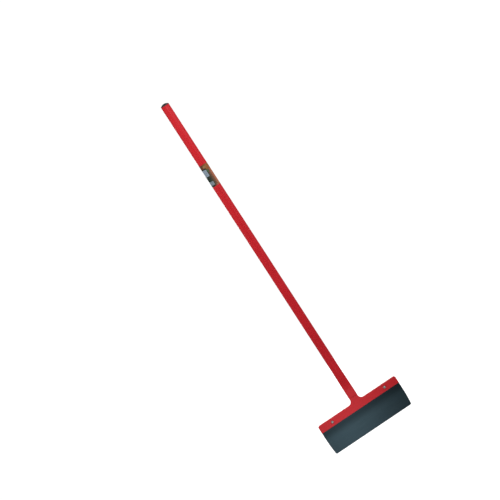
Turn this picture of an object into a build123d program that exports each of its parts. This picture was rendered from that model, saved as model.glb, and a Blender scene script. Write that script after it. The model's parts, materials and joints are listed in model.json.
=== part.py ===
from build123d import *
import math
import os

# Long-handled floor scraper: a painted steel tube handle closed down onto a T-shaped head
# plate, and a wide spring-steel blade held between that plate and a clamp bar by two screws.
#
# Millimetres. +Z runs up the handle, +X is to the right seen from the front, and the front
# faces -Y. The origin is the middle of the blade's cutting edge.

os.makedirs("parts", exist_ok=True)

# ---- Driving dimensions ----
OVERALL_LENGTH = 1490.0
HEAD_WIDTH = 355.6  # 14 in
BLADE_HEIGHT = 127.0  # 5 in
BLADE_THICKNESS = 1.5
BLADE_EXPOSED = 97.0  # below the bar
BAR_HEIGHT = 31.75  # 1 1/4 in
BAR_THICKNESS = 3.2
BAR_CORNER_RADIUS = 8.0
BAR_EDGE_RADIUS = 0.5
TUBE_DIAMETER = 34.9  # 1 3/8 in
TUBE_WALL = 1.5
SCREW_SPACING = 241.3  # 9 1/2 in
SCREW_DIAMETER = 6.35  # 1/4-20
SCREW_LENGTH = 15.875  # 5/8 in under the head

# ---- Blade outline ----
BLADE_TAPER_START = 70.0  # height below which the ends draw in
BLADE_TAPER_RADIUS = 600.0
BLADE_CORNER_RADIUS = 6.0
BLADE_TOP_CORNER_RADIUS = 8.0
BEVEL_HEIGHT = 8.0
EDGE_THICKNESS = 0.3

# ---- Head plate ----
NECK_HALF_WIDTH = 17.8
NECK_FILLET = 17.0
NECK_HEIGHT = 23.25  # above the bar
TONGUE_WIDTH = 26.0
TONGUE_HEIGHT = 28.0
TONGUE_CLEARANCE = 0.1
WELD_DROP = 1.8  # how far the bead runs down the plate, in steps of the tube's overhang
WELD_BULGE = 0.65

# ---- Handle ----
FLAT_LENGTH = 30.0  # stretch of the tube that is closed flat on the tongue
FLAT_HALF_WIDTH = 18.2  # the tube spreads a little where it is pressed flat
CLOSING_LENGTH = 90.0  # stretch where the tube goes from flat to round
CLOSING_STEPS = 6
PLUG_FLANGE = 1.5
PLUG_FLANGE_INSET = 0.25
PLUG_DOME = 6.0
PLUG_STEM_LENGTH = 24.0
PLUG_STEM_INSET = 0.8
PLUG_STEM_WALL = 2.2
PLUG_RIB_COUNT = 3
PLUG_RIB_HEIGHT = 2.0
PLUG_RIB_CLEARANCE = 0.05

# ---- Label ----
LABEL_BOTTOM = 1120.0
LABEL_HEIGHT = 95.0
LABEL_THICKNESS = 0.15
LABEL_GAP = 0.02
FRONT_ANGLE = -90.0  # where the front is, in degrees round +Z
LABEL_START = -145.0  # degrees from the front, towards +X
LABEL_END = 75.0

# ---- Fasteners ----
CLEARANCE_HOLE = 6.8
THREAD_CLEARANCE = 0.075  # between the screw's outside and the nut or washer
SCREW_HEAD_DIAMETER = 12.0
SCREW_HEAD_HEIGHT = 4.45
SCREW_SLOT_WIDTH = 1.6
SCREW_SLOT_DEPTH = 2.0
SCREW_SLOT_ANGLE = 35.0
SCREW_TIP_CHAMFER = 0.7
WASHER_DIAMETER = 12.4
WASHER_THICKNESS = 1.6
WASHER_SPLIT = 1.3
WASHER_SPLIT_ANGLE = 20.0
NUT_ACROSS_FLATS = 11.11  # 7/16 in
NUT_HEIGHT = 5.56  # 7/32 in
NUT_CHAMFER_ANGLE = 30.0
NUT_FACE_INSET = 0.2  # bearing face's radius, inside half the width across the flats

# ---- Levels worked out from the driving dimensions ----
BAR_BOTTOM = BLADE_EXPOSED
BAR_TOP = BAR_BOTTOM + BAR_HEIGHT
SCREW_LEVEL = BAR_TOP - BAR_HEIGHT / 2
TUBE_END = BAR_TOP + NECK_HEIGHT
ROUND_START = TUBE_END + FLAT_LENGTH + CLOSING_LENGTH
TUBE_TOP = OVERALL_LENGTH - PLUG_FLANGE - PLUG_DOME
TUBE_RADIUS = TUBE_DIAMETER / 2
TUBE_BORE_RADIUS = TUBE_RADIUS - TUBE_WALL
FLAT_HALF_THICKNESS = BAR_THICKNESS / 2 + TONGUE_CLEARANCE + TUBE_WALL

# ---- Depths, front to back ----
PLATE_FRONT = -BAR_THICKNESS / 2
PLATE_BACK = BAR_THICKNESS / 2
BLADE_BACK = PLATE_BACK + BLADE_THICKNESS
CLAMP_BACK = BLADE_BACK + BAR_THICKNESS
WASHER_BACK = CLAMP_BACK + WASHER_THICKNESS
NUT_BACK = WASHER_BACK + NUT_HEIGHT

RIGHT_END = HEAD_WIDTH / 2
SCREW_PLACES = {"left": -SCREW_SPACING / 2, "right": SCREW_SPACING / 2}


def across(depth):
    """The plane across the tool at this depth; extruding by a negative amount goes back."""
    return Plane.XZ.offset(-depth)


def dome_radius(base_radius, height):
    """The radius of the sphere that a dome of this base and height is cut from."""
    return (base_radius**2 + height**2) / (2 * height)


def finish(piece, name):
    """Label a finished piece and write its STEP file."""
    piece.part.label = name
    export_step(piece.part, f"parts/{name}.step")


def closing_outline(flatness, inset):
    """The tube's outline, from round at flatness 0 to a flat slot at flatness 1."""
    radius = TUBE_RADIUS - inset
    flat_depth = FLAT_HALF_THICKNESS - inset
    spread = 1 - (1 - flatness) ** 2
    half_width = radius + (FLAT_HALF_WIDTH - TUBE_RADIUS) * spread
    ease = flatness * flatness * (3 - 2 * flatness)
    half_depth = radius + (flat_depth - radius) * ease
    round_corner = radius * math.sqrt(0.5)
    corner_x = round_corner + (half_width - flat_depth - round_corner) * ease
    corner_y = round_corner + (flat_depth - round_corner) * ease
    front_left = (-corner_x, -corner_y)
    front_right = (corner_x, -corner_y)
    back_left = (-corner_x, corner_y)
    back_right = (corner_x, corner_y)
    with BuildLine() as outline:
        if flatness < 1:
            ThreePointArc(front_left, (0, -half_depth), front_right)
        else:
            Line(front_left, front_right)
        ThreePointArc(front_right, (half_width, 0), back_right)
        if flatness < 1:
            ThreePointArc(back_right, (0, half_depth), back_left)
        else:
            Line(back_right, back_left)
        ThreePointArc(back_left, (-half_width, 0), front_left)
    return outline.line


# ---- Handle tube: round, closed flat at its lower end over the head plate's tongue ----
with BuildPart() as handle_tube:
    for inset, how in ((0.0, Mode.ADD), (TUBE_WALL, Mode.SUBTRACT)):
        with BuildSketch(Plane.XY.offset(ROUND_START)):
            Circle(TUBE_RADIUS - inset)
        extrude(amount=TUBE_TOP - ROUND_START, mode=how)
        for step in range(CLOSING_STEPS + 1):
            flatness = step / CLOSING_STEPS
            with BuildSketch(Plane.XY.offset(ROUND_START - CLOSING_LENGTH * flatness)):
                make_face(closing_outline(flatness, inset))
        loft(mode=how)
        with BuildSketch(Plane.XY.offset(TUBE_END)):
            SlotOverall(2 * (FLAT_HALF_WIDTH - inset), 2 * (FLAT_HALF_THICKNESS - inset))
        extrude(amount=FLAT_LENGTH, mode=how)
finish(handle_tube, "handle_tube")

# ---- End plug: domed plastic cap with a hollow ribbed stem inside the tube ----
with BuildPart() as handle_end_plug:
    stem_radius = TUBE_BORE_RADIUS - PLUG_STEM_INSET
    stem_bottom = TUBE_TOP - PLUG_STEM_LENGTH
    flange_radius = TUBE_RADIUS - PLUG_FLANGE_INSET
    flange_top = TUBE_TOP + PLUG_FLANGE
    with BuildSketch(Plane.XZ):
        with BuildLine():
            Polyline(
                (0, OVERALL_LENGTH),
                (0, stem_bottom),
                (stem_radius, stem_bottom),
                (stem_radius, TUBE_TOP),
                (flange_radius, TUBE_TOP),
                (flange_radius, flange_top),
            )
            RadiusArc(
                (flange_radius, flange_top),
                (0, OVERALL_LENGTH),
                -dome_radius(flange_radius, PLUG_DOME),
            )
        make_face()
    revolve(axis=Axis.Z)
    rib_reach = TUBE_BORE_RADIUS - PLUG_RIB_CLEARANCE - stem_radius
    rib_taper = math.degrees(math.atan2(rib_reach, PLUG_RIB_HEIGHT))
    rib_pitch = (PLUG_STEM_LENGTH - PLUG_RIB_HEIGHT) / PLUG_RIB_COUNT
    for rib in range(PLUG_RIB_COUNT):
        with BuildSketch(Plane.XY.offset(stem_bottom + PLUG_RIB_HEIGHT + rib * rib_pitch)):
            Circle(stem_radius)
        extrude(amount=PLUG_RIB_HEIGHT, taper=-rib_taper)
    with BuildSketch(Plane.XY.offset(stem_bottom)):
        Circle(stem_radius - PLUG_STEM_WALL)
    extrude(amount=PLUG_STEM_LENGTH, mode=Mode.SUBTRACT)
finish(handle_end_plug, "handle_end_plug")

# ---- Label: a thin printed sheet wrapped part of the way round the tube ----
with BuildPart() as handle_label:
    inner_radius = TUBE_RADIUS + LABEL_GAP
    outer_radius = inner_radius + LABEL_THICKNESS
    with BuildSketch(Plane.XY.offset(LABEL_BOTTOM)):
        with BuildLine():
            start = FRONT_ANGLE + LABEL_START
            inner = CenterArc((0, 0), inner_radius, start, LABEL_END - LABEL_START)
            outer = CenterArc((0, 0), outer_radius, start, LABEL_END - LABEL_START)
            Line(inner @ 0, outer @ 0)
            Line(inner @ 1, outer @ 1)
        make_face()
    extrude(amount=LABEL_HEIGHT)
finish(handle_label, "handle_label")

# ---- Head plate: a bar with a filleted neck, and a tongue inside the tube's closed end ----
with BuildPart() as head_plate:
    with BuildSketch(across(PLATE_FRONT)):
        with BuildLine():
            neck_foot = NECK_HALF_WIDTH + NECK_FILLET
            corner_start = BAR_TOP - BAR_CORNER_RADIUS
            corner_end = RIGHT_END - BAR_CORNER_RADIUS
            Polyline((0, BAR_BOTTOM), (RIGHT_END, BAR_BOTTOM), (RIGHT_END, corner_start))
            RadiusArc((RIGHT_END, corner_start), (corner_end, BAR_TOP), -BAR_CORNER_RADIUS)
            Line((corner_end, BAR_TOP), (neck_foot, BAR_TOP))
            RadiusArc((neck_foot, BAR_TOP), (NECK_HALF_WIDTH, BAR_TOP + NECK_FILLET), NECK_FILLET)
            Polyline(
                (NECK_HALF_WIDTH, BAR_TOP + NECK_FILLET),
                (NECK_HALF_WIDTH, TUBE_END),
                (TONGUE_WIDTH / 2, TUBE_END),
                (TONGUE_WIDTH / 2, TUBE_END + TONGUE_HEIGHT),
                (0, TUBE_END + TONGUE_HEIGHT),
            )
            mirror(about=Plane.YZ)
        make_face()
        with Locations([(x, SCREW_LEVEL) for x in SCREW_PLACES.values()]):
            Circle(CLEARANCE_HOLE / 2, mode=Mode.SUBTRACT)
    extrude(amount=-BAR_THICKNESS)
    fillet(head_plate.faces().sort_by(Axis.Y)[0].outer_wire().edges(), BAR_EDGE_RADIUS)
finish(head_plate, "head_plate")

# ---- Neck welds: a fillet bead on each face, under the tube's end ----
for side, outwards in (("front", -1), ("rear", 1)):
    with BuildPart() as neck_weld:
        overhang = FLAT_HALF_THICKNESS - BAR_THICKNESS / 2
        plate_face = outwards * BAR_THICKNESS / 2
        tube_face = outwards * FLAT_HALF_THICKNESS
        bead_foot = TUBE_END - WELD_DROP * overhang
        bead_length = 2 * (FLAT_HALF_WIDTH - FLAT_HALF_THICKNESS)
        with BuildSketch(Plane.YZ.offset(-bead_length / 2)):
            with BuildLine():
                Polyline((plate_face, bead_foot), (plate_face, TUBE_END), (tube_face, TUBE_END))
                ThreePointArc(
                    (tube_face, TUBE_END),
                    (plate_face + outwards * WELD_BULGE * overhang, TUBE_END - overhang),
                    (plate_face, bead_foot),
                )
            make_face()
        extrude(amount=bead_length)
    finish(neck_weld, f"neck_weld_{side}")

# ---- Clamp bar: the loose bar behind the blade ----
with BuildPart() as clamp_bar:
    with BuildSketch(across(BLADE_BACK)):
        with Locations((0, SCREW_LEVEL)):
            Rectangle(HEAD_WIDTH, BAR_HEIGHT)
        with Locations([(x, SCREW_LEVEL) for x in SCREW_PLACES.values()]):
            Circle(CLEARANCE_HOLE / 2, mode=Mode.SUBTRACT)
    extrude(amount=-BAR_THICKNESS)
    fillet(clamp_bar.edges().filter_by(Axis.Y).group_by(Axis.Z)[-1], BAR_CORNER_RADIUS)
    fillet(clamp_bar.faces().sort_by(Axis.Y)[-1].outer_wire().edges(), BAR_EDGE_RADIUS)
finish(clamp_bar, "clamp_bar")

# ---- Blade: drawn in at the lower ends, bevelled behind, with a notch open at the top ----
# ---- for each screw ----
with BuildPart() as blade:
    with BuildSketch(across(PLATE_BACK)):
        with BuildLine():
            taper_drop = BLADE_TAPER_START - BLADE_CORNER_RADIUS
            draw_in = BLADE_TAPER_RADIUS - math.sqrt(BLADE_TAPER_RADIUS**2 - taper_drop**2)
            low_end = RIGHT_END - draw_in
            corner_x = low_end - BLADE_CORNER_RADIUS
            top_corner_x = RIGHT_END - BLADE_TOP_CORNER_RADIUS
            top_corner_z = BLADE_HEIGHT - BLADE_TOP_CORNER_RADIUS
            Line((0, 0), (corner_x, 0))
            RadiusArc((corner_x, 0), (low_end, BLADE_CORNER_RADIUS), -BLADE_CORNER_RADIUS)
            RadiusArc(
                (low_end, BLADE_CORNER_RADIUS),
                (RIGHT_END, BLADE_TAPER_START),
                -BLADE_TAPER_RADIUS,
            )
            Line((RIGHT_END, BLADE_TAPER_START), (RIGHT_END, top_corner_z))
            RadiusArc(
                (RIGHT_END, top_corner_z),
                (top_corner_x, BLADE_HEIGHT),
                -BLADE_TOP_CORNER_RADIUS,
            )
            Line((top_corner_x, BLADE_HEIGHT), (0, BLADE_HEIGHT))
            mirror(about=Plane.YZ)
        make_face()
        with Locations([(x, SCREW_LEVEL) for x in SCREW_PLACES.values()]):
            Circle(CLEARANCE_HOLE / 2, mode=Mode.SUBTRACT)
        with Locations([(x, SCREW_LEVEL + BAR_HEIGHT / 4) for x in SCREW_PLACES.values()]):
            Rectangle(CLEARANCE_HOLE, BAR_HEIGHT / 2, mode=Mode.SUBTRACT)
    extrude(amount=-BLADE_THICKNESS)
    with BuildSketch(Plane.YZ.offset(-RIGHT_END)):
        with BuildLine():
            Polyline(
                (BLADE_BACK, BEVEL_HEIGHT),
                (PLATE_BACK + EDGE_THICKNESS, 0),
                (BLADE_BACK, 0),
                close=True,
            )
        make_face()
    extrude(amount=HEAD_WIDTH, mode=Mode.SUBTRACT)
finish(blade, "blade")

# ---- Clamp screws, split lock washers and hex nuts, one set on each side ----
for side, x in SCREW_PLACES.items():
    screw_axis = Axis((x, 0, SCREW_LEVEL), (0, 1, 0))
    section = Plane(origin=(x, 0, SCREW_LEVEL), x_dir=(1, 0, 0), z_dir=(0, 0, 1))
    shank_radius = SCREW_DIAMETER / 2
    bore_radius = shank_radius + THREAD_CLEARANCE

    with BuildPart() as clamp_screw:
        head_radius = SCREW_HEAD_DIAMETER / 2
        head_front = PLATE_FRONT - SCREW_HEAD_HEIGHT
        screw_tip = PLATE_FRONT + SCREW_LENGTH
        with BuildSketch(section):
            with BuildLine():
                Polyline(
                    (0, head_front),
                    (0, screw_tip),
                    (shank_radius - SCREW_TIP_CHAMFER, screw_tip),
                    (shank_radius, screw_tip - SCREW_TIP_CHAMFER),
                    (shank_radius, PLATE_FRONT),
                    (head_radius, PLATE_FRONT),
                )
                RadiusArc(
                    (head_radius, PLATE_FRONT),
                    (0, head_front),
                    dome_radius(head_radius, SCREW_HEAD_HEIGHT),
                )
            make_face()
        revolve(axis=screw_axis)
        with BuildSketch(Plane(origin=(x, head_front, SCREW_LEVEL), x_dir=(1, 0, 0), z_dir=(0, 1, 0))):
            Rectangle(SCREW_SLOT_WIDTH, SCREW_HEAD_DIAMETER, rotation=SCREW_SLOT_ANGLE)
        extrude(amount=SCREW_SLOT_DEPTH, mode=Mode.SUBTRACT)
    finish(clamp_screw, f"clamp_screw_{side}")

    with BuildPart() as lock_washer:
        ring_middle = (bore_radius + WASHER_DIAMETER / 2) / 2
        split_plane = Plane(
            origin=(x, 0, SCREW_LEVEL + ring_middle), x_dir=(1, 0, 0), z_dir=(0, 0, 1)
        )
        with BuildSketch(Plane(origin=(x, CLAMP_BACK, SCREW_LEVEL), x_dir=(1, 0, 0), z_dir=(0, 1, 0))):
            Circle(WASHER_DIAMETER / 2)
            Circle(bore_radius, mode=Mode.SUBTRACT)
        extrude(amount=WASHER_THICKNESS)
        with BuildSketch(split_plane):
            with Locations((0, CLAMP_BACK + WASHER_THICKNESS / 2)):
                Rectangle(WASHER_SPLIT, 3 * WASHER_THICKNESS, rotation=WASHER_SPLIT_ANGLE)
        extrude(amount=ring_middle - WASHER_THICKNESS, both=True, mode=Mode.SUBTRACT)
    finish(lock_washer, f"lock_washer_{side}")

    with BuildPart() as clamp_nut:
        corner_radius = NUT_ACROSS_FLATS / math.sqrt(3)
        face_radius = NUT_ACROSS_FLATS / 2 - NUT_FACE_INSET
        relief = (corner_radius - face_radius) * math.tan(math.radians(NUT_CHAMFER_ANGLE))
        with BuildSketch(Plane(origin=(x, WASHER_BACK, SCREW_LEVEL), x_dir=(1, 0, 0), z_dir=(0, 1, 0))):
            RegularPolygon(NUT_ACROSS_FLATS / 2, 6, major_radius=False)
            Circle(bore_radius, mode=Mode.SUBTRACT)
        extrude(amount=NUT_HEIGHT)
        with BuildSketch(section):
            with BuildLine():
                Polyline(
                    (0, WASHER_BACK),
                    (face_radius, WASHER_BACK),
                    (corner_radius, WASHER_BACK + relief),
                    (corner_radius, NUT_BACK - relief),
                    (face_radius, NUT_BACK),
                    (0, NUT_BACK),
                    close=True,
                )
            make_face()
        revolve(axis=screw_axis, mode=Mode.INTERSECT)
    finish(clamp_nut, f"clamp_nut_{side}")
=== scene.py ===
import json
import math

import bmesh
import bpy
from mathutils import Matrix, Vector

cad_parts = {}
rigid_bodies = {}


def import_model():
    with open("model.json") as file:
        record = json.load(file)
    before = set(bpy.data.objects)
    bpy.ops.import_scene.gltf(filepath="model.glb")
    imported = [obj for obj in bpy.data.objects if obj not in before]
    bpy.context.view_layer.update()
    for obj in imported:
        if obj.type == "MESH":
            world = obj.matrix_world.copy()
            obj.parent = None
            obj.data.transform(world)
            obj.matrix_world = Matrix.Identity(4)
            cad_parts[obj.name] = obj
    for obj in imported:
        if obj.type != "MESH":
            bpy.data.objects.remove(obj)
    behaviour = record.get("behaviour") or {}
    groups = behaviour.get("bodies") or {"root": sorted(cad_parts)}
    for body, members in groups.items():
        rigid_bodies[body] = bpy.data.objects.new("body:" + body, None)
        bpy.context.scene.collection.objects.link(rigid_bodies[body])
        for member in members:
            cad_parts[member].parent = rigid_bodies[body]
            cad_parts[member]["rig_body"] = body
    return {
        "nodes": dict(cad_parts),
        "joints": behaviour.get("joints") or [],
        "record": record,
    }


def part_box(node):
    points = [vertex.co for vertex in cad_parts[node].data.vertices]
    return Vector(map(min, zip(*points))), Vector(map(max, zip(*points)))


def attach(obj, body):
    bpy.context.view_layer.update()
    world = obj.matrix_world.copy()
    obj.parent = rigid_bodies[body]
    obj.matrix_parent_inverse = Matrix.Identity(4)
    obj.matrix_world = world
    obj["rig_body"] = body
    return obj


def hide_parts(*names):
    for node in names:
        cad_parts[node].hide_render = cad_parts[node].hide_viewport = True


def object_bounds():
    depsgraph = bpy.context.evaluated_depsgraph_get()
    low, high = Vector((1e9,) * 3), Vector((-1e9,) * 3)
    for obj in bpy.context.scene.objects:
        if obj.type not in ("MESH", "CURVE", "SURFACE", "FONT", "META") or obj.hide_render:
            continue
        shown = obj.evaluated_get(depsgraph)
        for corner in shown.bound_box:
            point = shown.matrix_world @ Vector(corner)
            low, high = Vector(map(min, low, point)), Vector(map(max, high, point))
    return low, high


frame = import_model()
cad_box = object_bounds()

# Looks for a long-handled floor scraper: painted steel handle and head, blued steel blade,
# zinc-plated fasteners, black end plug and a printed label. Metres, in the frame of the CAD
# model: +Z up the handle, -Y to the front.

MM = 0.001

# ---- Places read from the frame ----
TUBE_LOW, TUBE_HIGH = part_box("handle_tube")
PLATE_LOW, PLATE_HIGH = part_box("head_plate")
CLAMP_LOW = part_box("clamp_bar")[0]
BLADE_LOW, BLADE_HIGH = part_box("blade")
LABEL_LOW, LABEL_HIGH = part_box("handle_label")
PLUG_LOW, PLUG_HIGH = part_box("handle_end_plug")
WELD_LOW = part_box("neck_weld_front")[0]
WASHER_LOW, WASHER_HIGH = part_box("lock_washer_left")
NUT_LOW, NUT_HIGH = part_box("clamp_nut_left")
SCREW_LOW, SCREW_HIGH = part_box("clamp_screw_left")

SCREW_SIDES = {"left": -1, "right": 1}
SCREW_SPREAD = -(SCREW_LOW.x + SCREW_HIGH.x) / 2
SCREW_LEVEL = (SCREW_LOW.z + SCREW_HIGH.z) / 2
JOINTS = {joint["name"]: joint for joint in frame["joints"]}
BLADE_TRAVEL = JOINTS["blade_slide"]["range_m"][1]

# ---- Sizes ----
SCREW_RADIUS = 3.175 * MM
THREAD_PITCH = 1.27 * MM
THREAD_CLEARANCE = 0.075 * MM

TUBE_RADIUS = TUBE_HIGH.y
TUBE_WALL = 1.5 * MM
FLAT_HALF = -WELD_LOW.y  # half the depth of the tube where it is pressed flat
FLAT_HALF_WIDTH = TUBE_HIGH.x  # the tube spreads a little there
FLAT_TOP = TUBE_LOW.z + 30 * MM
CLOSING_LENGTH = 90 * MM  # over this much above the flat it goes round again
SEAM_LENGTH = 18 * MM  # how far the closed edges' seam runs up past the flat
BEVEL_HEIGHT = 8 * MM  # of the ground bevel behind the blade's cutting edge


# ---- Mesh helpers ----
SAME_POINT = 0.5e-6  # points nearer than this are merged


def smoothstep(t):
    """0 to 1 with a soft start and end, held outside that range."""
    t = min(1.0, max(0.0, t))
    return t * t * (3 - 2 * t)


def piece_from(name, node, slot, verts, faces, sharp_angle=35):
    """A mesh piece that stands for one CAD node, rides on its body and has its finish.

    Edges that turn by more than the sharp angle, in degrees, are shaded as edges.
    """
    mesh = bpy.data.meshes.new(name)
    mesh.from_pydata([tuple(v) for v in verts], [], faces)
    clean = bmesh.new()
    clean.from_mesh(mesh)
    bmesh.ops.remove_doubles(clean, verts=clean.verts, dist=SAME_POINT)
    bmesh.ops.recalc_face_normals(clean, faces=clean.faces)
    clean.to_mesh(mesh)
    clean.free()
    mesh.polygons.foreach_set("use_smooth", [True] * len(mesh.polygons))
    mesh.set_sharp_from_angle(angle=math.radians(sharp_angle))
    mesh.materials.append(MATERIALS[slot])
    piece = bpy.data.objects.new(name, mesh)
    bpy.context.scene.collection.objects.link(piece)
    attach(piece, frame["nodes"][node]["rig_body"])
    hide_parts(node)
    return piece


def skin(rings, loop=False):
    """Vertices and faces through rings of equal length: capped, or joined last to first."""
    count = len(rings[0])
    verts = [point for ring in rings for point in ring]
    faces = []
    spans = len(rings) if loop else len(rings) - 1
    for i in range(spans):
        a = i * count
        b = (i + 1) % len(rings) * count
        for j in range(count):
            k = (j + 1) % count
            faces.append((a + j, a + k, b + k, b + j))
    if not loop:
        faces.append(tuple(range(count)))
        faces.append(tuple(range(len(verts) - count, len(verts))))
    return verts, faces


def turned(profile, segments, centre, axis):
    """Rings of a lathe form: profile holds (radius, height) along the axis from the centre."""
    rings = []
    for radius, height in profile:
        ring = []
        for j in range(segments):
            angle = 2 * math.pi * j / segments
            ring.append(around(centre, axis, radius, angle, height))
        rings.append(ring)
    return rings


def around(centre, axis, radius, angle, height):
    """A point at this radius and angle round the axis, right-handed, and this far along it."""
    if axis == "Z":
        return centre + Vector((radius * math.cos(angle), radius * math.sin(angle), height))
    return centre + Vector((radius * math.sin(angle), height, radius * math.cos(angle)))


def arc(centre, radius, start, end, steps):
    """Points of an arc in the plane of a profile or outline, angles in degrees."""
    points = []
    for i in range(steps + 1):
        angle = math.radians(start + (end - start) * i / steps)
        points.append((centre[0] + radius * math.cos(angle), centre[1] + radius * math.sin(angle)))
    return points


def dome(base_radius, height, steps):
    """(radius, height) of a spherical cap from its rim, at height 0, to its top."""
    sphere = (base_radius**2 + height**2) / (2 * height)
    reach = math.asin(base_radius / sphere)
    points = []
    for i in range(steps + 1):
        angle = reach * (1 - i / steps)
        points.append((sphere * math.sin(angle), sphere * math.cos(angle) - (sphere - height)))
    return points


# ---- Material helpers ----
MIX_FACTOR, MIX_COLOUR_A, MIX_COLOUR_B, MIX_COLOUR_OUT = 0, 6, 7, 2  # a Mix node's sockets


class Surface:
    """A material's node tree, with its Principled shader, built one node at a time."""

    def __init__(self, name, **shader_values):
        self.material = bpy.data.materials.new(name)
        self.material.use_nodes = True
        self.tree = self.material.node_tree
        self.tree.nodes.clear()
        self.shader = self.tree.nodes.new("ShaderNodeBsdfPrincipled")
        output = self.tree.nodes.new("ShaderNodeOutputMaterial")
        self.tree.links.new(self.shader.outputs["BSDF"], output.inputs["Surface"])
        for socket, value in shader_values.items():
            self.set(self.shader, socket.replace("_", " "), value)
        coordinates = self.tree.nodes.new("ShaderNodeTexCoord")
        self.place = coordinates.outputs["Object"]

    def set(self, node, socket, value):
        """Links the socket to a node's output, or gives it a plain value."""
        if isinstance(value, bpy.types.NodeSocket):
            self.tree.links.new(value, node.inputs[socket])
        else:
            node.inputs[socket].default_value = value

    def drive(self, socket, value):
        """Links a shader socket to a node's output."""
        self.tree.links.new(value, self.shader.inputs[socket])

    def add(self, kind, output=0, settings=None, **inputs):
        """A node's output. An input is named by its socket, or _0, _1 and so on by its place."""
        node = self.tree.nodes.new("ShaderNode" + kind)
        for name, value in (settings or {}).items():
            setattr(node, name, value)
        for socket, value in inputs.items():
            key = int(socket[1:]) if socket[0] == "_" else socket.replace("_", " ")
            self.set(node, key, value)
        return node.outputs[output]

    def math(self, operation, a, b=0.0):
        return self.add("Math", settings={"operation": operation}, _0=a, _1=b)

    def times(self, vector, factor):
        return self.add("VectorMath", settings={"operation": "MULTIPLY"}, _0=vector, _1=factor)

    def axes(self):
        """The X, Y and Z of the place."""
        node = self.tree.nodes.new("ShaderNodeSeparateXYZ")
        self.set(node, "Vector", self.place)
        return node.outputs["X"], node.outputs["Y"], node.outputs["Z"]

    def noise(self, scale, detail=2.0, roughness=0.5):
        """A noise with this many cycles per metre along each axis."""
        return self.add(
            "TexNoise",
            output="Fac",
            Vector=self.times(self.place, scale),
            Scale=1.0,
            Detail=detail,
            Roughness=roughness,
        )

    def span(self, value, low, high, to_low=0.0, to_high=1.0, kind="LINEAR"):
        """Maps low to high onto to_low to to_high, held at the ends."""
        return self.add(
            "MapRange",
            settings={"interpolation_type": kind, "clamp": True},
            Value=value,
            From_Min=low,
            From_Max=high,
            To_Min=to_low,
            To_Max=to_high,
        )

    def spread(self, noise, to_low=0.0, to_high=1.0):
        """Stretches a noise, which seldom leaves 0.3 to 0.7, onto to_low to to_high."""
        return self.span(noise, 0.3, 0.7, to_low, to_high)

    def blend(self, factor, a, b):
        """Colour a where the factor is 0, and b where it is 1."""
        node = self.tree.nodes.new("ShaderNodeMix")
        node.data_type = "RGBA"
        self.set(node, MIX_FACTOR, factor)
        self.set(node, MIX_COLOUR_A, a if isinstance(a, bpy.types.NodeSocket) else (*a, 1))
        self.set(node, MIX_COLOUR_B, b if isinstance(b, bpy.types.NodeSocket) else (*b, 1))
        return node.outputs[MIX_COLOUR_OUT]

    def bump(self, height, distance, strength, normal=None):
        """The normal with this height, from 0 to 1 over the distance, added to it."""
        node = self.tree.nodes.new("ShaderNodeBump")
        self.set(node, "Height", height)
        self.set(node, "Distance", distance)
        self.set(node, "Strength", strength)
        if normal is not None:
            self.set(node, "Normal", normal)
        return node.outputs[0]


def each(value):
    """The same value along all three axes."""
    return (value, value, value)


# ---- Materials ----
def red_paint():
    """Satin powder coat: fine orange peel, slow waves, faint tone drift and a few dull rubs."""
    s = Surface("red_powder_coat", Specular_IOR_Level=0.2)
    drift = s.noise(each(7.0), detail=3.0)
    tone = s.blend(s.spread(drift), (0.545, 0.0135, 0.0205), (0.578, 0.0155, 0.0235))
    speck = s.noise(each(900.0), detail=1.0)
    tone = s.blend(s.span(speck, 0.62, 0.8, 0.0, 0.25), tone, (0.47, 0.010, 0.016))
    rub = s.math("MULTIPLY", s.noise((90.0, 90.0, 9.0), detail=4.0), s.noise(each(24.0)))
    rub = s.span(rub, 0.33, 0.42)
    s.drive("Base Color", s.blend(s.math("MULTIPLY", rub, 0.18), tone, (0.6, 0.03, 0.035)))
    satin = s.spread(drift, 0.38, 0.46)
    s.drive("Roughness", s.math("ADD", satin, s.math("MULTIPLY", rub, 0.1)))
    waves = s.bump(s.noise(each(55.0), detail=1.0), 0.12 * MM, 0.4)
    peel = s.noise(each(620.0), detail=2.0)
    s.drive("Normal", s.bump(peel, 0.025 * MM, 0.6, waves))
    return s.material


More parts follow.
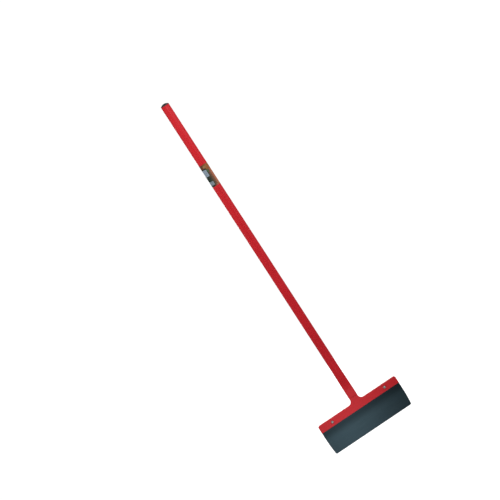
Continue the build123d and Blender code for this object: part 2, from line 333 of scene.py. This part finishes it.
def blade_steel():
    """Blued spring steel: dark slate with a rolled grain, oil mottle and a ground bevel, with
    painted shade under the clamp bar and towards the right end.
    """
    s = Surface("blued_steel", Metallic=1.0)
    across, depth, height = s.axes()
    grain = s.noise((14.0, 14.0, 1500.0), detail=3.0, roughness=0.6)
    mottle = s.noise((9.0, 9.0, 14.0), detail=4.0, roughness=0.6)
    tone = s.blend(s.spread(mottle), (0.037, 0.062, 0.076), (0.051, 0.083, 0.099))
    tone = s.blend(s.span(grain, 0.35, 0.65, 0.0, 0.35), tone, (0.030, 0.051, 0.062))
    # Painted shade: the blade's colour darkens towards the clamp bar, standing in for the bar's
    # shadow on it.
    dark_from, dark_at = BLADE_HIGH.z - 75 * MM, CLAMP_LOW.z - 8 * MM
    painted_shade_under_bar = s.span(height, dark_from, dark_at, 1.0, 0.55, kind="SMOOTHSTEP")
    # Painted shade: the blade's colour also darkens towards its right end, standing in for light
    # that falls off across it.
    drift = s.span(across, BLADE_LOW.x * 0.4, BLADE_HIGH.x, 1.0, 0.80)
    tone = s.times(tone, s.math("MULTIPLY", painted_shade_under_bar, drift))
    off_back = s.span(depth, BLADE_HIGH.y - 0.05 * MM, BLADE_HIGH.y - 0.02 * MM, 1.0, 0.0)
    off_front = s.span(depth, BLADE_LOW.y + 0.1 * MM, BLADE_LOW.y + 0.2 * MM)
    low = s.span(height, BEVEL_HEIGHT - 0.1 * MM, BEVEL_HEIGHT, 1.0, 0.0)
    ground = s.math("MULTIPLY", s.math("MULTIPLY", off_back, off_front), low)
    lines = s.noise((2600.0, 30.0, 30.0), detail=2.0)
    bright = s.blend(s.spread(lines), (0.34, 0.35, 0.36), (0.52, 0.53, 0.54))
    s.drive("Base Color", s.blend(ground, tone, bright))
    rough = s.math("ADD", s.spread(mottle, 0.36, 0.46), s.math("MULTIPLY", grain, 0.1))
    s.drive("Roughness", s.add("Mix", _0=ground, _2=rough, _3=0.3))
    scratch = s.bump(grain, 0.02 * MM, 0.5)
    s.drive("Normal", s.bump(s.math("MULTIPLY", lines, ground), 0.02 * MM, 0.7, scratch))
    return s.material


def zinc_plate():
    """Bright zinc plating: soft grey metal with a faint blotchy passivate."""
    s = Surface("zinc_plating", Metallic=1.0)
    blotch = s.noise(each(260.0), detail=3.0)
    tone = s.blend(s.spread(blotch), (0.44, 0.445, 0.45), (0.55, 0.545, 0.52))
    s.drive("Base Color", tone)
    s.drive("Roughness", s.spread(blotch, 0.34, 0.5))
    s.drive("Normal", s.bump(s.noise(each(2400.0), detail=2.0), 0.01 * MM, 0.5))
    return s.material


def black_plastic():
    """Moulded polyethylene: very dark grey, with a fine spark-eroded texture."""
    s = Surface("black_polyethylene", Specular_IOR_Level=0.5)
    drift = s.noise(each(120.0), detail=2.0)
    tone = s.blend(s.spread(drift), (0.036, 0.037, 0.038), (0.050, 0.051, 0.052))
    s.drive("Base Color", tone)
    s.drive("Roughness", s.spread(drift, 0.42, 0.55))
    s.drive("Normal", s.bump(s.noise(each(2600.0), detail=2.0), 0.03 * MM, 0.6))
    return s.material


def label_print():
    """Generic printed label: a dark field that turns warm to the right, plain panels and bars.

    Places and sizes are in mm: round the tube from the front, and up from the lower edge.
    """
    s = Surface("printed_vinyl", Specular_IOR_Level=0.35)
    x, y, z = s.axes()
    turn = s.math("ARCTAN2", x, s.math("MULTIPLY", y, -1.0))
    across = s.math("MULTIPLY", turn, TUBE_RADIUS / MM)
    up = s.math("DIVIDE", s.math("SUBTRACT", z, LABEL_LOW.z), MM)
    soft = 0.25  # how far the print's edges bleed each way

    def panel(centre, size, corner):
        """1 inside a rounded rectangle on the label, and 0 outside it."""
        gaps = []
        for value, middle, extent in zip((across, up), centre, size):
            offset = s.math("ABSOLUTE", s.math("SUBTRACT", value, middle))
            gaps.append(s.math("SUBTRACT", offset, extent / 2 - corner))
        outside = [s.math("MAXIMUM", gap, 0.0) for gap in gaps]
        squares = [s.math("MULTIPLY", gap, gap) for gap in outside]
        far = s.math("SQRT", s.math("ADD", *squares))
        near = s.math("MINIMUM", s.math("MAXIMUM", *gaps), 0.0)
        distance = s.math("SUBTRACT", s.math("ADD", far, near), corner)
        return s.span(distance, -soft, soft, 1.0, 0.0)

    ink = s.spread(s.noise(each(60.0)))
    colour = s.blend(ink, (0.015, 0.026, 0.018), (0.021, 0.034, 0.024))
    for start, end, warmer in (
        (-9.0, -1.0, (0.075, 0.055, 0.034)),
        (-1.0, 7.0, (0.19, 0.072, 0.036)),
        (7.0, 14.0, (0.43, 0.14, 0.070)),
    ):
        colour = s.blend(s.span(across, start, end), colour, warmer)
    foot = s.blend(s.span(across, -4.0, 8.0), (0.09, 0.045, 0.032), (0.36, 0.12, 0.055))
    band = s.blend(s.span(across, -10.0, -2.0), (0.125, 0.042, 0.018), (0.20, 0.095, 0.022))
    band = s.blend(s.span(across, -2.0, 9.0), band, (0.29, 0.095, 0.024))
    pale = s.blend(ink, (0.22, 0.28, 0.34), (0.25, 0.31, 0.37))
    dull = s.blend(ink, (0.18, 0.22, 0.25), (0.21, 0.25, 0.28))
    panels = [  # centre, size, corner radius, colour
        ((13.0, 3.2), (36.0, 6.4), 0.5, foot),
        ((-11.0, 86.2), (66.0, 15.6), 1.0, band),
        ((14.0, 76.5), (31.0, 9.0), 1.0, band),
        ((-3.0, 84.5), (13.0, 8.0), 3.0, (0.27, 0.15, 0.065)),
        ((1.4, 65.5), (4.6, 11.0), 2.0, (0.045, 0.13, 0.05)),
        ((-16.7, 59.3), (26.6, 28.6), 4.0, pale),
        ((-12.5, 58.5), (11.0, 6.0), 2.5, (0.19, 0.24, 0.30)),
        ((-16.7, 14.8), (26.6, 15.5), 4.0, dull),
    ]
    for level in (52.0, 49.6, 68.6, 12.6, 17.4):
        panels.append(((-16.0, level), (18.0, 0.7), 0.3, (0.15, 0.19, 0.24)))
    for centre, size, corner, paint in panels:
        colour = s.blend(panel(centre, size, corner), colour, paint)
    s.drive("Base Color", colour)
    s.drive("Roughness", s.spread(s.noise(each(80.0)), 0.32, 0.42))
    s.drive("Normal", s.bump(s.noise(each(300.0), detail=2.0), 0.008 * MM, 0.5))
    return s.material


MATERIALS = {
    "red_paint": red_paint(),
    "blade_steel": blade_steel(),
    "zinc_plate": zinc_plate(),
    "black_plastic": black_plastic(),
    "printed_label": label_print(),
}
for record_part in frame["record"]["subparts"]:
    node = frame["nodes"][record_part["node"]]
    node.data.materials.clear()
    node.data.materials.append(MATERIALS[record_part["material_slot"]])


# ---- Handle tube ----
def tube_ring(level, inset):
    """The tube's section at a height: round above, closed to a flat slot at the bottom.

    The outer skin, with no inset, has a rippled seam on its closed edges and a faint unevenness.
    """
    flatness = min(1.0, max(0.0, 1 - (level - FLAT_TOP) / CLOSING_LENGTH))
    closing = smoothstep(flatness)
    radius = TUBE_RADIUS - inset
    width = radius + (FLAT_HALF_WIDTH - TUBE_RADIUS) * (1 - (1 - flatness) ** 2)
    flat = FLAT_HALF - inset
    seam_foot = smoothstep((level - TUBE_LOW.z) / (3 * MM))
    seam_window = seam_foot * smoothstep((FLAT_TOP + SEAM_LENGTH - level) / SEAM_LENGTH)
    seam_height, seam_reach, ripple_pitch = 0.15 * MM, 1.3 * MM, 3.6 * MM
    unevenness, waves_across, waves_along = 0.05 * MM, 420, 310  # waves in radians per metre
    segments = 128
    ring = []
    for j in range(segments):
        angle = 2 * math.pi * (j + 0.5) / segments
        x = width * math.cos(angle)
        round_y = radius * abs(math.sin(angle))
        end = max(0.0, abs(x) - (width - flat))
        flat_y = math.sqrt(max(0.0, flat * flat - end * end))
        y = round_y + (flat_y - round_y) * closing
        if inset == 0:
            ripple = 0.8 + 0.2 * math.sin(2 * math.pi * level / ripple_pitch)
            seam = seam_height * ripple * math.exp(-((y / seam_reach) ** 2))
            x += math.copysign(seam, x) * seam_window
            waves = math.sin(x * waves_across) * math.sin(level * waves_along + 1.3)
            y += unevenness * waves * closing
        ring.append(Vector((x, math.copysign(y, math.sin(angle)), level)))
    return ring


def levels_between(low, high, step):
    """Whole steps up from the low level, short of the high one."""
    return [low + i * step for i in range(int((high - low) / step))]


def handle_tube():
    """One closed skin: up the outside, over the rounded top edge and down the inside."""
    top = TUBE_HIGH.z
    ease, top_round = 0.1 * MM, 0.35 * MM
    closed_top = FLAT_TOP + CLOSING_LENGTH
    seam_top = FLAT_TOP + SEAM_LENGTH
    shaped = levels_between(TUBE_LOW.z, seam_top, 0.6 * MM)
    shaped += levels_between(seam_top, closed_top, 2 * MM)
    steps = 50
    plain = [closed_top + (top - top_round - closed_top) * i / steps for i in range(steps + 1)]
    rings = [tube_ring(level, 0.0) for level in shaped + plain]
    rings += [tube_ring(top - ease, ease), tube_ring(top, top_round), tube_ring(top, TUBE_WALL)]
    rings += [tube_ring(level, TUBE_WALL) for level in reversed(shaped[::4] + plain[::10])]
    piece_from("tube_handle", "handle_tube", "red_paint", *skin(rings, loop=True))


handle_tube()


# ---- Neck welds: stacked ripples, tapering away at both ends ----
def neck_weld(name, node, outwards):
    """A fillet under the tube's end, on the plate's front if outwards is -1, or its rear if 1."""
    low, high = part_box(node)
    plate_face = PLATE_HIGH.y
    sunk = 0.02 * MM  # the bead starts this far inside the plate
    overhang = FLAT_HALF - plate_face
    drop = high.z - low.z
    ripple_pitch = 2.1 * MM
    wander_waves = 900  # radians per metre
    steps, corners = 160, 8
    rings = []
    for i in range(steps + 1):
        along = i / steps
        x = low.x + (high.x - low.x) * along
        taper = min(1.0, math.sin(math.pi * along) * 4) ** 0.5
        scallop = abs(math.sin(math.pi * (x - low.x) / ripple_pitch)) ** 0.6
        swell = (0.86 + 0.14 * scallop) * max(taper, 0.05)
        wander = 1 + 0.06 * math.sin(x * wander_waves)
        ring = [Vector((x, outwards * (plate_face - sunk), high.z))]
        for j in range(corners + 1):
            turn = math.pi / 2 * j / corners
            out = overhang * swell * math.cos(turn) ** 0.8
            down = drop * swell * wander * math.sin(turn) ** 0.8
            ring.append(Vector((x, outwards * (plate_face + out), high.z - down * 0.98)))
        rings.append(ring)
    piece_from(name, node, "red_paint", *skin(rings), sharp_angle=60)


neck_weld("weld_bead_front", "neck_weld_front", -1)
neck_weld("weld_bead_rear", "neck_weld_rear", 1)


# ---- End plug ----
def end_plug():
    """Domed cap with a soft rim and a gate mark, on a hollow stem with three snap ribs."""
    rim = PLUG_HIGH.x
    bore = TUBE_RADIUS - TUBE_WALL
    stem = bore - 0.8 * MM
    base = TUBE_HIGH.z
    bottom = PLUG_LOW.z
    flange = 0.5 * MM
    soft = 0.4 * MM
    wall = 2.2 * MM
    lead_in = 0.5 * MM
    profile = [(0, base), (stem - wall, base), (stem - wall, bottom)]
    profile += [(stem - lead_in, bottom), (stem, bottom + lead_in)]
    ribs = 3
    rib_crest, rib_top, rib_back = 1.8 * MM, 2 * MM, 2.05 * MM  # heights above a rib's foot
    first_rib = bottom + rib_top
    rib_pitch = (base - first_rib) / ribs
    rib_radius = bore - 0.15 * MM
    for rib in range(ribs):
        start = first_rib + rib * rib_pitch
        profile += [(stem, start), (rib_radius, start + rib_crest)]
        profile += [(rib_radius, start + rib_top), (stem, start + rib_back)]
    profile += [(stem, base), (rim - soft, base)]
    profile += arc((rim - soft, base + soft), soft, -90, 0, 6)
    shoulder = arc((rim - soft, base + flange), soft, 0, 45, 4)
    cap_radius, cap_base = shoulder[-1]
    profile += shoulder
    gate_depth, gate_radius = 0.35 * MM, 1.1 * MM
    cap = dome(cap_radius, PLUG_HIGH.z - cap_base, 36)
    for radius, height in cap[1:]:
        gate = gate_depth * math.exp(-((radius / gate_radius) ** 4))
        profile.append((radius, cap_base + height - gate))
    verts, faces = skin(turned(profile, 96, Vector((0, 0, 0)), "Z"))
    piece_from("end_plug", "handle_end_plug", "black_plastic", verts, faces)


end_plug()


# ---- Blade: eased edges all round, and the ground bevel behind the cutting edge ----
def inset_outline(points, distance):
    """The closed outline moved inwards by a small distance. Its points run anticlockwise."""
    moved = []
    for before, point, after in zip(points[-1:] + points[:-1], points, points[1:] + points[:1]):
        arriving = (point - before).normalized()
        leaving = (after - point).normalized()
        inwards = Vector((-arriving.y - leaving.y, arriving.x + leaving.x)).normalized()
        opening = max(0.3, inwards.dot(Vector((-leaving.y, leaving.x))))
        moved.append(point + inwards * distance / opening)
    return moved


def blade():
    """Rounded corners, ends that draw in near the cutting edge, and notches open at the top."""
    half_width = BLADE_HIGH.x
    top = BLADE_HIGH.z
    corner, top_corner = 6 * MM, 8 * MM
    taper_start, taper_radius = 70 * MM, 600 * MM
    slot_half = 3.4 * MM
    edge, ease = 0.3 * MM, 0.1 * MM
    front, back = BLADE_LOW.y, BLADE_HIGH.y

    def end_at(z):
        into = max(0.0, taper_start - z)
        return half_width - taper_radius + math.sqrt(taper_radius**2 - into**2)

    right = [Vector((x, 0.0)) for x in (40 * MM, 80 * MM, 120 * MM, 150 * MM)]
    corner_x = end_at(corner) - corner
    right += [Vector(point) for point in arc((corner_x, corner), corner, -90, 0, 10)]
    steps = 16
    levels = [BEVEL_HEIGHT + (taper_start - BEVEL_HEIGHT) * i / steps for i in range(steps + 1)]
    right += [Vector((end_at(z), z)) for z in levels]
    top_centre = (half_width - top_corner, top - top_corner)
    right += [Vector(point) for point in arc(top_centre, top_corner, 0, 90, 10)]
    slot_x = SCREW_SPREAD
    right += [Vector((slot_x + slot_half, top)), Vector((slot_x + slot_half, SCREW_LEVEL))]
    slot_end = arc((slot_x, SCREW_LEVEL), slot_half, 0, -180, 16)
    right += [Vector(point) for point in slot_end[1:-1]]
    right += [Vector((slot_x - slot_half, SCREW_LEVEL)), Vector((slot_x - slot_half, top))]
    outline = right + [Vector((-point.x, point.y)) for point in reversed(right)]
    inner = inset_outline(outline, ease)

    def back_at(z):
        return front + edge + (back - front - edge) * min(1.0, max(0.0, z) / BEVEL_HEIGHT)

    rings = [
        [Vector((p.x, front, p.y)) for p in inner],
        [Vector((p.x, front + ease, p.y)) for p in outline],
        [Vector((p.x, back_at(p.y) - ease, p.y)) for p in outline],
        [Vector((p.x, back_at(p.y), p.y)) for p in inner],
    ]
    verts, faces = skin(rings)
    faces.pop()  # the rear cap bends where the bevel ends, so it is made as two faces
    count = len(outline)
    rear = [3 * count + i for i in range(count)]
    bend = [i for i in range(count) if abs(outline[i].y - BEVEL_HEIGHT) < 1e-9]
    first, last = bend[0], bend[-1]
    faces.append(tuple(rear[first : last + 1]))
    faces.append(tuple(rear[last:] + rear[: first + 1]))
    piece_from("scraper_blade", "blade", "blade_steel", verts, faces, sharp_angle=4)


blade()


# ---- Screws, lock washers and nuts ----
def thread_depth(turns):
    """0 at the crest and 1 at the root of a 60 degree thread, by turns along the helix."""
    flanks = 0.62  # the share of the pitch that the two flanks take up
    return min(1.0, abs((turns % 1.0) - 0.5) * 2 / flanks)


def cut_box(piece, centre, size, turn):
    """Cuts a box, turned about the Y axis, out of a piece and keeps the result as its mesh."""
    place = Matrix.Translation(centre) @ Matrix.Rotation(turn, 4, "Y")
    place = place @ Matrix.Diagonal((*size, 1))
    box = bmesh.new()
    bmesh.ops.create_cube(box, size=1.0, matrix=place)
    mesh = bpy.data.meshes.new("slot_cutter")
    box.to_mesh(mesh)
    box.free()
    cutter = bpy.data.objects.new("slot_cutter", mesh)
    bpy.context.scene.collection.objects.link(cutter)
    cut = piece.modifiers.new("slot", "BOOLEAN")
    cut.operation = "DIFFERENCE"
    cut.solver = "EXACT"
    cut.object = cutter
    bpy.context.view_layer.update()
    shown = piece.evaluated_get(bpy.context.evaluated_depsgraph_get())
    result = bpy.data.meshes.new_from_object(shown)
    piece.modifiers.clear()
    piece.data = result
    bpy.data.objects.remove(cutter)


def clamp_screw(side):
    """Round head with a slot across it, on a threaded shank with a chamfered tip."""
    segments = 64
    centre = Vector((SCREW_SIDES[side] * SCREW_SPREAD, 0, SCREW_LEVEL))
    face = PLATE_LOW.y
    tip = SCREW_HIGH.y
    head_radius = (SCREW_HIGH.x - SCREW_LOW.x) / 2
    head_height = face - SCREW_LOW.y
    chamfer, root = 0.7 * MM, 0.62 * MM
    tip_centre = 2.3 * MM
    rings = turned([(tip_centre, tip), (SCREW_RADIUS - chamfer, tip)], segments, centre, "Y")
    steps = int((tip - face) / (THREAD_PITCH / 10))
    for i in range(1, steps + 1):
        height = tip - (tip - face) * i / steps
        ring = []
        for j in range(segments):
            turns = height / THREAD_PITCH - j / segments
            radius = SCREW_RADIUS - root * thread_depth(turns)
            radius = min(radius, SCREW_RADIUS - chamfer + (tip - height))
            ring.append(around(centre, "Y", radius, 2 * math.pi * j / segments, height))
        rings.append(ring)
    rim = 0.25 * MM
    head = [(head_radius - rim, face), (head_radius, face - rim)]
    cap = dome(head_radius, head_height - rim, 28)
    head += [(radius, face - rim - height) for radius, height in cap[1:-1]]
    rings += turned(head, segments, centre, "Y")
    name = f"slotted_screw_{side}"
    node = f"clamp_screw_{side}"
    sharp_angle = 50
    screw = piece_from(name, node, "zinc_plate", *skin(rings), sharp_angle=sharp_angle)
    slot_width, slot_depth, slot_turn = 1.6 * MM, 2.0 * MM, math.radians(-55)
    reach = 1 * MM  # how far the cutting box stands out in front of the head
    middle = Vector((centre.x, SCREW_LOW.y + slot_depth / 2 - reach / 2, centre.z))
    cut_box(screw, middle, (3 * head_radius, slot_depth + reach, slot_width), slot_turn)
    screw.data.set_sharp_from_angle(angle=math.radians(sharp_angle))


def lock_washer(side):
    """Split spring washer with eased edges, its ends cut on a slant."""
    centre = Vector((SCREW_SIDES[side] * SCREW_SPREAD, 0, SCREW_LEVEL))
    near, far = WASHER_LOW.y, WASHER_HIGH.y
    inner = SCREW_RADIUS + THREAD_CLEARANCE
    outer = (WASHER_HIGH.x - WASHER_LOW.x) / 2
    ease = 0.25 * MM
    middle = (near + far) / 2
    section = [(inner, near + ease), (inner + ease, near)]
    section += [(outer - ease, near), (outer, near + ease)]
    section += [(outer, far - ease), (outer - ease, far)]
    section += [(inner + ease, far), (inner, far - ease)]
    half_gap, slant = 0.65 * MM, math.tan(math.radians(20))
    steps = 72
    rings = []
    for i in range(steps + 1):
        ring = []
        for radius, height in section:
            lean = (height - middle) * slant
            start = math.asin((half_gap + lean) / radius)
            end = 2 * math.pi - math.asin((half_gap - lean) / radius)
            angle = start + (end - start) * i / steps
            ring.append(around(centre, "Y", radius, angle, height))
        rings.append(ring)
    name = f"spring_washer_{side}"
    node = f"lock_washer_{side}"
    piece_from(name, node, "zinc_plate", *skin(rings), sharp_angle=30)


def hex_radius(angle, flat_radius):
    """The radius of a hexagon with its corners on the X axis at this angle."""
    sector = (angle % (math.pi / 3)) - math.pi / 6
    return flat_radius / math.cos(sector)


def hex_nut(side):
    """Hex nut with chamfered corners, a countersunk mouth and a thread in its bore."""
    segments = 96
    centre = Vector((SCREW_SIDES[side] * SCREW_SPREAD, 0, SCREW_LEVEL))
    near, far = NUT_LOW.y, NUT_HIGH.y
    flat_radius = (NUT_HIGH.z - NUT_LOW.z) / 2
    face_radius = flat_radius - 0.2 * MM
    slope = math.tan(math.radians(30))
    bore = SCREW_RADIUS + THREAD_CLEARANCE
    mouth = 0.35 * MM
    root = 0.4 * MM
    rings = []
    for end, inwards in ((near, 1), (far, -1)):
        circle = []
        bend = []
        for j in range(segments):
            angle = 2 * math.pi * j / segments
            side_radius = hex_radius(angle - math.pi / 2, flat_radius)
            drop = (side_radius - face_radius) * slope
            circle.append(around(centre, "Y", face_radius, angle, end))
            bend.append(around(centre, "Y", side_radius, angle, end + inwards * drop))
        rings += [circle, bend] if inwards > 0 else [bend, circle]
    rings += turned([(bore + mouth, far)], segments, centre, "Y")
    steps = int((far - near) / (THREAD_PITCH / 8))
    for i in range(1, steps):
        height = far - (far - near) * i / steps
        widen = max(0.0, mouth - min(far - height, height - near))
        ring = []
        for j in range(segments):
            groove = root * thread_depth(height / THREAD_PITCH - j / segments + 0.5)
            radius = bore + max(widen, groove)
            ring.append(around(centre, "Y", radius, 2 * math.pi * j / segments, height))
        rings.append(ring)
    rings += turned([(bore + mouth, near)], segments, centre, "Y")
    name = f"hex_nut_{side}"
    node = f"clamp_nut_{side}"
    piece_from(name, node, "zinc_plate", *skin(rings, loop=True), sharp_angle=25)


for screw_side in SCREW_SIDES:
    clamp_screw(screw_side)
    lock_washer(screw_side)
    hex_nut(screw_side)


# ---- Label ----
def label():
    """A thin closed sheet with rounded corners, wrapped part of the way round the tube."""
    start = math.radians(-145)
    end = math.radians(75)
    corner = 4 * MM
    gap = 0.02 * MM
    thickness = 0.15 * MM
    height = LABEL_HIGH.z - LABEL_LOW.z
    corner_rows, plain_rows = 8, 12
    rows = [
        corner * (1 - math.cos(math.pi / 2 * i / corner_rows)) for i in range(corner_rows)
    ]
    rows += [corner + (height - 2 * corner) * i / plain_rows for i in range(plain_rows + 1)]
    rows += [height - row for row in reversed(rows[:corner_rows])]
    columns = 88
    sheets = []
    for radius in (TUBE_RADIUS + gap, TUBE_RADIUS + gap + thickness):
        sheet = []
        for row in rows:
            into = max(0.0, corner - min(row, height - row))
            cut = (corner - math.sqrt(corner * corner - into * into)) / TUBE_RADIUS
            for column in range(columns + 1):
                angle = start + cut + (end - start - 2 * cut) * column / columns
                x = radius * math.sin(angle)
                y = -radius * math.cos(angle)
                sheet.append(Vector((x, y, LABEL_LOW.z + row)))
        sheets.append(sheet)
    verts = sheets[0] + sheets[1]
    width = columns + 1
    lift = len(sheets[0])
    faces = []
    for i in range(len(rows) - 1):
        for j in range(columns):
            a = i * width + j
            quad = [a, a + 1, a + width + 1, a + width]
            faces.append(tuple(reversed(quad)))
            faces.append(tuple(lift + k for k in quad))
    border = list(range(width)) + [i * width + columns for i in range(1, len(rows))]
    border += [(len(rows) - 1) * width + j for j in reversed(range(columns))]
    border += [i * width for i in reversed(range(1, len(rows) - 1))]
    for a, b in zip(border, border[1:] + border[:1]):
        faces.append((a, b, lift + b, lift + a))
    piece_from("wrap_label", "handle_label", "printed_label", verts, faces)


label()


# ---- Stage, light and camera ----
def paper_floor():
    """A large white floor below the slid-out blade, brighter to the camera than as a light."""
    reach = 80.0
    clearance = 0.2 * MM
    level = cad_box[0].z - BLADE_TRAVEL - clearance
    corners = [(x * reach, y * reach, level) for x, y in ((-1, -1), (1, -1), (1, 1), (-1, 1))]
    mesh = bpy.data.meshes.new("floor")
    mesh.from_pydata(corners, [], [(0, 1, 2, 3)])
    floor = bpy.data.objects.new("floor", mesh)
    bpy.context.scene.collection.objects.link(floor)
    grey, white = (0.42, 0.42, 0.42, 1), (1, 1, 1, 1)
    s = Surface("white_paper", Base_Color=grey, Roughness=0.9, Specular_IOR_Level=0.0)
    s.set(s.shader, "Emission Color", white)
    seen = s.add("LightPath")  # its first output, Is Camera Ray
    s.drive("Emission Strength", s.math("MULTIPLY", seen, 0.9))
    mesh.materials.append(s.material)


def soft_world():
    """White all round: a dim light that is seen as bright paper."""
    world = bpy.data.worlds.new("studio")
    world.use_nodes = True
    bpy.context.scene.world = world
    nodes = world.node_tree.nodes
    nodes["Background"].inputs["Color"].default_value = (1, 1, 1, 1)
    rays = nodes.new("ShaderNodeLightPath")
    seen = nodes.new("ShaderNodeMapRange")
    seen.inputs["To Min"].default_value = 0.35
    seen.inputs["To Max"].default_value = 1.05
    world.node_tree.links.new(rays.outputs["Is Camera Ray"], seen.inputs["Value"])
    world.node_tree.links.new(seen.outputs[0], nodes["Background"].inputs["Strength"])


def lamp(name, kind, energy, place, target, glossy=True, **settings):
    """A light aimed at the target. Without glossy it gives no highlights."""
    data = bpy.data.lights.new(name, kind)
    data.energy = energy
    for key, value in settings.items():
        setattr(data, key, value)
    light = bpy.data.objects.new(name, data)
    light.location = place
    light.rotation_euler = (target - light.location).to_track_quat("-Z", "Y").to_euler()
    light.visible_glossy = glossy
    bpy.context.scene.collection.objects.link(light)


VIEW_AZIMUTH = -6.31  # degrees from the front
VIEW_ELEVATION = 6.54
VIEW_ROLL = -32.93
VIEW_DISTANCE = 24.0
VIEW_WIDTH = 1.909  # what the frame takes in at that distance
VIEW_CENTRE = Vector((-0.0267, 0.0, 0.8407))


def aim_camera():
    """A long lens from the front, a little above and to the left, rolled so the tool leans."""
    turn = math.radians(VIEW_AZIMUTH)
    rise = math.radians(VIEW_ELEVATION)
    level = math.cos(rise)
    back = Vector((math.sin(turn) * level, -math.cos(turn) * level, math.sin(rise)))
    data = bpy.data.cameras.new("camera")
    data.lens = data.sensor_width * VIEW_DISTANCE / VIEW_WIDTH
    data.clip_end = 300.0
    camera = bpy.data.objects.new("camera", data)
    bpy.context.scene.collection.objects.link(camera)
    upright = (-back).to_track_quat("-Z", "Y").to_matrix().to_4x4()
    roll = Matrix.Rotation(math.radians(VIEW_ROLL), 4, "Z")
    camera.matrix_world = Matrix.Translation(VIEW_CENTRE + back * VIEW_DISTANCE) @ upright @ roll
    bpy.context.scene.camera = camera


def key_lights():
    """Two soft panels level with the handle's upper half, one on each side of the front."""
    distance, height = 1.35, 1.2
    for name, azimuth in (("key_left", -62), ("key_right", 55)):
        turn = math.radians(azimuth)
        place = Vector((distance * math.sin(turn), -distance * math.cos(turn), height))
        aim = Vector((0, 0, height))
        lamp(name, "AREA", 14.4, place, aim, glossy=False, shape="RECTANGLE", size=1.7, size_y=1.0)


paper_floor()
soft_world()
key_lights()
lamp(
    "head_pool",
    "SPOT",
    106.0,
    Vector((0.15, -3.0, 0.4)),
    Vector((-0.07, 0, 0.06)),
    spot_size=math.radians(10.0),
    spot_blend=1.0,
    shadow_soft_size=0.15,
)
lamp(
    "rear_fill",
    "AREA",
    36.0,
    Vector((0, 2.4, 1.0)),
    Vector((0, 0, 0.75)),
    shape="RECTANGLE",
    size=1.8,
    size_y=1.6,
)
lamp("top_glint", "AREA", 0.42, Vector((0.05, -0.42, 1.5)), Vector((0, 0, 1.47)), size=0.08)
aim_camera()
bpy.context.scene.view_settings.view_transform = "Standard"
